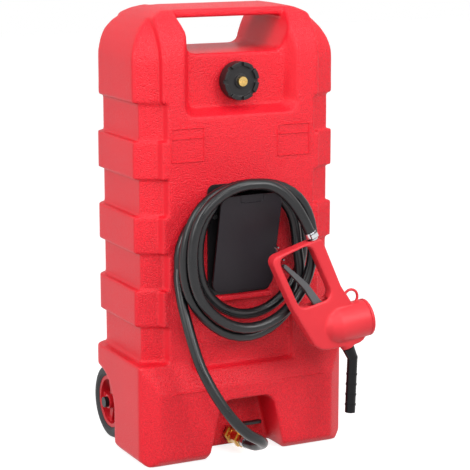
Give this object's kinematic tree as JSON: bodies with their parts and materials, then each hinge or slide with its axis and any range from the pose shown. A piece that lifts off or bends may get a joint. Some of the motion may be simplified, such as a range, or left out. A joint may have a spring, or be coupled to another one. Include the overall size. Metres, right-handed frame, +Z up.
{
  "type": "fuel caddy",
  "caption": "Wheeled moulded fuel tank with a screw cap, drain valve, hose on a front hanger and trigger nozzle.",
  "frame": {"origin": "on the floor under the tank, midway between its sides, 108 mm behind the front of its base", "axes": "+Z up, +X to the right as seen from the front, -Y towards the front with the hose; the axle runs along X"},
  "size_m": [0.433, 0.413, 0.8559],
  "materials": {
    "tank_red": "moulded polyethylene, fine stipple on the front, satin sides",
    "hub_red": "smooth moulded plastic",
    "nozzle_red": "smooth moulded plastic with a soft sheen",
    "black_plastic": "matte moulded plastic",
    "charcoal_plastic": "fine-grained matte plastic",
    "grey_plastic": "smooth moulded plastic",
    "seal_rubber": "smooth rubber",
    "hose_rubber": "smooth rubber with a soft highlight",
    "tyre": "matte solid tyre",
    "brass": "machined, lightly polished",
    "steel": "zinc plated"
  },
  "bodies": {
    "caddy": {"tank": "tank_red", "filler_neck": "black_plastic", "axle": "steel", "axle_bushes": "black_plastic", "push_caps": "black_plastic", "hanger_bracket": "black_plastic", "hanger_plate": "charcoal_plastic", "hanger_screws": "steel", "bulkhead_fitting": "brass", "bulkhead_nut": "brass", "outlet_seal": "seal_rubber", "valve_body": "brass", "hose_barb": "brass", "hose_clamp_lower": "steel", "hose_riser": "hose_rubber", "hose_coil": "hose_rubber", "hose_clamp_upper": "steel", "inlet_barb": "steel", "nozzle_body": "nozzle_red", "chamber_cap": "nozzle_red", "trigger_pin": "steel", "poppet_spring": "steel", "spout": "black_plastic"},
    "wheel_left": {"hub_left": "hub_red", "tyre_left": "tyre"},
    "wheel_right": {"hub_right": "hub_red", "tyre_right": "tyre"},
    "cap_carrier": {"cap_gasket": "seal_rubber"},
    "cap": {"cap": "black_plastic"},
    "vent": {"vent_screw": "brass"},
    "valve": {"valve_ball": "steel", "valve_stem": "brass", "valve_lever": "black_plastic", "lever_nut": "steel"},
    "trigger": {"trigger": "grey_plastic"},
    "poppet": {"poppet": "steel"},
    "clip": {"hold_clip": "steel"}
  },
  "joints": [
    {"name": "wheel_left_spin", "type": "hinge", "parent": "caddy", "child": "wheel_left", "pos_m": [-0.18, 0.118, 0.073], "axis": [1, 0, 0], "continuous": true},
    {"name": "wheel_right_spin", "type": "hinge", "parent": "caddy", "child": "wheel_right", "pos_m": [0.18, 0.118, 0.073], "axis": [1, 0, 0], "continuous": true},
    {"name": "cap_lift", "type": "slide", "parent": "caddy", "child": "cap_carrier", "axis": [0, -1, 0], "range_m": [0, 0.0101]},
    {"name": "cap_turn", "type": "hinge", "parent": "cap_carrier", "child": "cap", "pos_m": [0, -0.065, 0.719], "axis": [0, -1, 0], "range_deg": [0, 900]},
    {"name": "vent_turn", "type": "hinge", "parent": "cap", "child": "vent", "pos_m": [0, -0.08, 0.719], "axis": [0, -1, 0], "range_deg": [0, 360]},
    {"name": "valve_turn", "type": "hinge", "parent": "caddy", "child": "valve", "pos_m": [0, -0.062, 0.024], "axis": [0, 0, -1], "range_deg": [0, 90]},
    {"name": "trigger_pull", "type": "hinge", "parent": "caddy", "child": "trigger", "pos_m": [0.10681, -0.186, 0.30453], "axis": [0, 1, 0], "range_deg": [0, 18], "stiffness_Nm_per_rad": 0.5, "springref_deg": -17.19},
    {"name": "poppet_slide", "type": "slide", "parent": "caddy", "child": "poppet", "axis": [0.4305, 0, -0.9026], "range_m": [0, 0.0034], "deforming": ["poppet_spring"]},
    {"name": "clip_swing", "type": "hinge", "parent": "caddy", "child": "clip", "pos_m": [0.02867, -0.186, 0.40796], "axis": [0, -1, 0], "range_deg": [0, 25]}
  ],
  "couplings": [
    {"joint": "cap_lift", "follows": "cap_turn", "m_per_rad": 0.00063662},
    {"joint": "poppet_slide", "follows": "trigger_pull", "m_per_rad": 0.0105}
  ]
}
